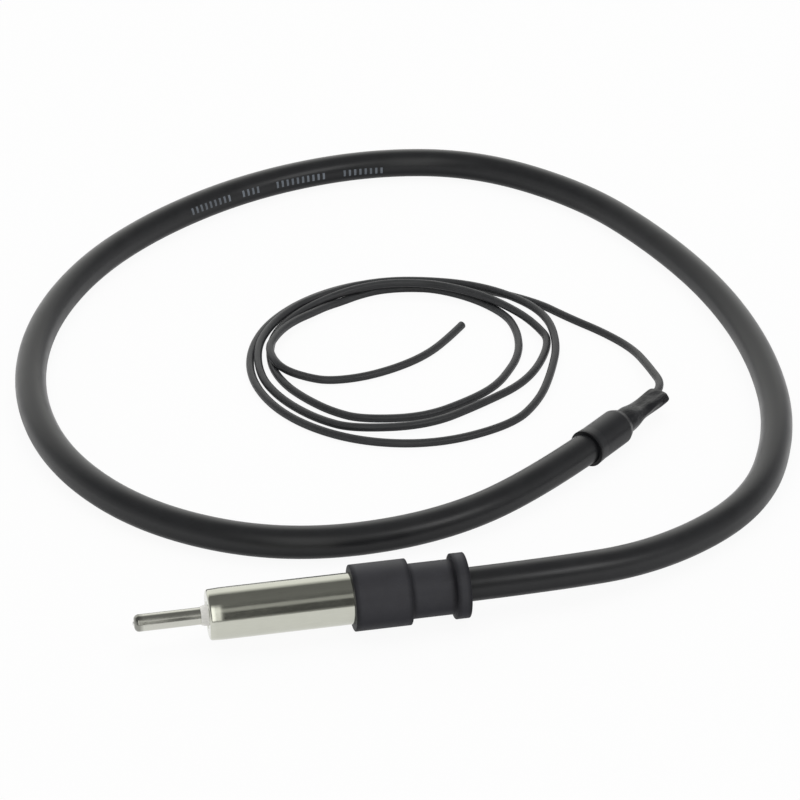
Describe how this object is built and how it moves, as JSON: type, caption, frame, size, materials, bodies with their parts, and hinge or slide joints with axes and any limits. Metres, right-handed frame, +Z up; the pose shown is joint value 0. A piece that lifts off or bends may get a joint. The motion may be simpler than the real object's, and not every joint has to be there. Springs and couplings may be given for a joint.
{
  "type": "hideaway dipole antenna",
  "caption": "Hideaway radio dipole: plated vehicle aerial plug with moulded boot, a loop of coaxial cable and a coiled thin wire element joined at a shrink-sleeved splice.",
  "frame": {"origin": "centre of the boot's front face on the plug's axis, where the socket's mouth stops", "axes": "+X along the plug's axis from the pin towards the cable, +Z up from the surface the antenna lies on, +Y to the left of +X seen from above"},
  "size_m": [0.1527, 0.173, 0.012],
  "materials": {
    "nickel_plate": "bright nickel plate on brass",
    "solder": "soft solder, bright",
    "insulator": "natural moulded plastic",
    "braid": "bare copper braid",
    "ferrule": "plain brass",
    "boot": "matte moulded",
    "dielectric": "natural polyethylene",
    "copper": "bare copper",
    "cable_jacket": "satin extruded vinyl",
    "shrink_sleeve": "satin shrink tube",
    "wire_insulation": "satin extruded vinyl"
  },
  "bodies": {
    "root": {"plug_pin": "nickel_plate", "tip_solder": "solder", "pin_insulator": "insulator", "plug_barrel": "nickel_plate", "braid_end": "braid", "crimp_ferrule": "ferrule", "plug_boot": "boot", "dielectric_plug_end": "dielectric", "core_plug_end": "copper", "coax_cable": "cable_jacket", "outer_sleeve": "shrink_sleeve", "neck_sleeve": "shrink_sleeve", "dielectric_splice_end": "dielectric", "core_splice_end": "copper", "wire_strand_end": "copper", "splice_crimp": "ferrule", "wire_lead": "wire_insulation", "wire_coil": "wire_insulation", "wire_tail": "wire_insulation"}
  },
  "joints": []
}
